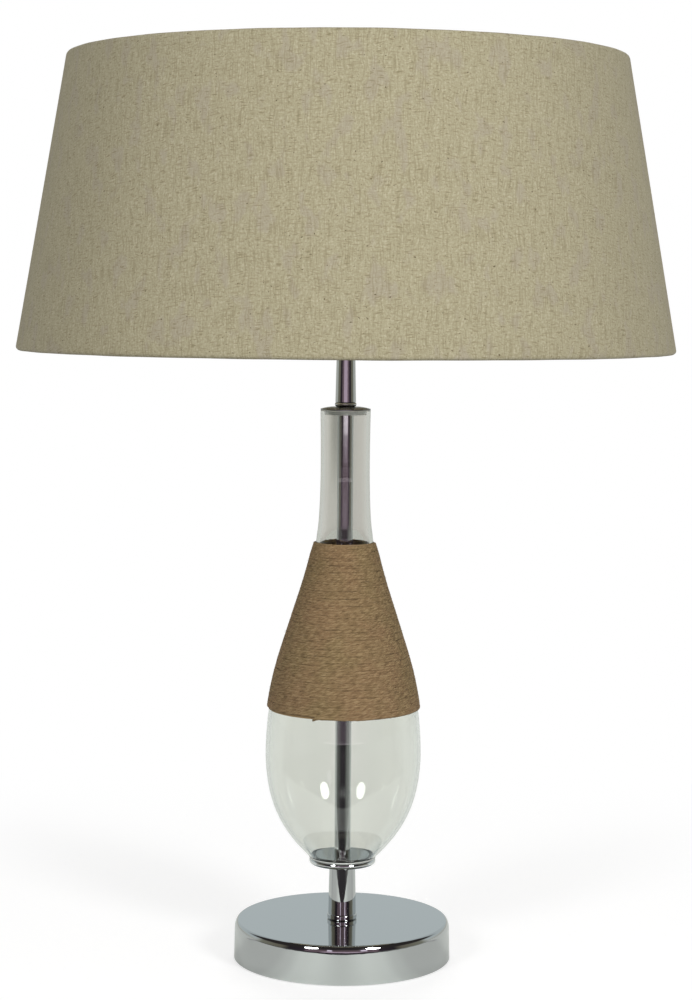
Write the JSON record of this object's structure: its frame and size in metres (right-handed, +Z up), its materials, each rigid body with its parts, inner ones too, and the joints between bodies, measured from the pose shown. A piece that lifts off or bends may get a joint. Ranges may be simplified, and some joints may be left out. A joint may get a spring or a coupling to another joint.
{
  "type": "table lamp",
  "caption": "Table lamp: round chrome base, clear glass bottle column wrapped with twine, tapered stem, lampholder with bulb, wide conical linen shade.",
  "frame": {"origin": "centre of the base's underside, on the surface that the lamp stands on", "axes": "+Z up along the stem; +Y towards the cord gland at the back; +X to the right from the front"},
  "size_m": [0.4492, 0.449, 0.6226],
  "materials": {
    "chrome": "polished",
    "zinc_steel": "zinc plated",
    "iron": "rough cast, painted",
    "pad": "closed-cell foam",
    "brass": "plain",
    "glass": "clear, blown",
    "gasket": "clear silicone",
    "twine": "natural jute",
    "twine_backing": "glued jute backing",
    "white_plastic": "moulded",
    "black_plastic": "moulded",
    "ceramic": "unglazed",
    "linen": "natural linen plain weave",
    "liner": "translucent white film",
    "white_metal": "powder coated",
    "opal_glass": "opal",
    "cap_metal": "drawn",
    "wire_brown": "insulated wire",
    "wire_blue": "insulated wire"
  },
  "bodies": {
    "stand": {"base_pad": "pad", "base_cover": "chrome", "base_weight": "iron", "base_washer": "zinc_steel", "base_nut": "zinc_steel", "cord_gland": "black_plastic", "terminal_block": "white_plastic", "terminal_screws": "brass", "wire_live": "wire_brown", "wire_neutral": "wire_blue", "threaded_tube": "zinc_steel", "foot_ring": "chrome", "column": "chrome", "glass_cup": "chrome", "lower_gasket": "gasket", "glass_body": "glass", "twine_backing": "twine_backing", "twine": "twine", "centre_tube": "chrome", "upper_gasket": "gasket", "neck_cap": "chrome", "stem_bead": "chrome", "stem": "chrome", "holder_cap": "white_plastic", "grub_screw": "zinc_steel", "holder_core": "ceramic", "holder_screws": "brass", "holder_body": "white_plastic", "holder_shell": "brass", "centre_contact": "brass", "switch_block": "ceramic"},
    "shade": {"fitter_ring": "white_metal", "spokes": "white_metal", "shade_lower_ring": "white_metal", "shade_upper_ring": "white_metal", "shade_fabric": "linen", "shade_liner": "liner"},
    "clamp_ring": {"shade_ring": "white_plastic"},
    "switch": {"switch_bar": "black_plastic"},
    "bulb_lift": {"bulb_tip": "cap_metal"},
    "bulb": {"bulb_globe": "opal_glass", "bulb_cap": "cap_metal", "bulb_insulator": "black_plastic"}
  },
  "joints": [
    {"name": "shade_turn", "type": "hinge", "parent": "stand", "child": "shade", "pos_m": [0, 0, 0.464], "axis": [0, 0, 1], "continuous": true},
    {"name": "shade_ring_travel", "type": "slide", "parent": "stand", "child": "clamp_ring", "axis": [0, 0, 1], "range_m": [0, 0.008]},
    {"name": "switch_push", "type": "slide", "parent": "stand", "child": "switch", "axis": [1, 0, 0], "range_m": [0, 0.006]},
    {"name": "bulb_rise", "type": "slide", "parent": "stand", "child": "bulb_lift", "axis": [0, 0, 1], "range_m": [0, 0.0146]},
    {"name": "bulb_turn", "type": "hinge", "parent": "bulb_lift", "child": "bulb", "pos_m": [0, 0, 0.48], "axis": [0, 0, 1], "range_deg": [0, 1440]}
  ],
  "couplings": [
    {"joint": "bulb_rise", "follows": "bulb_turn", "m_per_rad": 0.0005775}
  ]
}
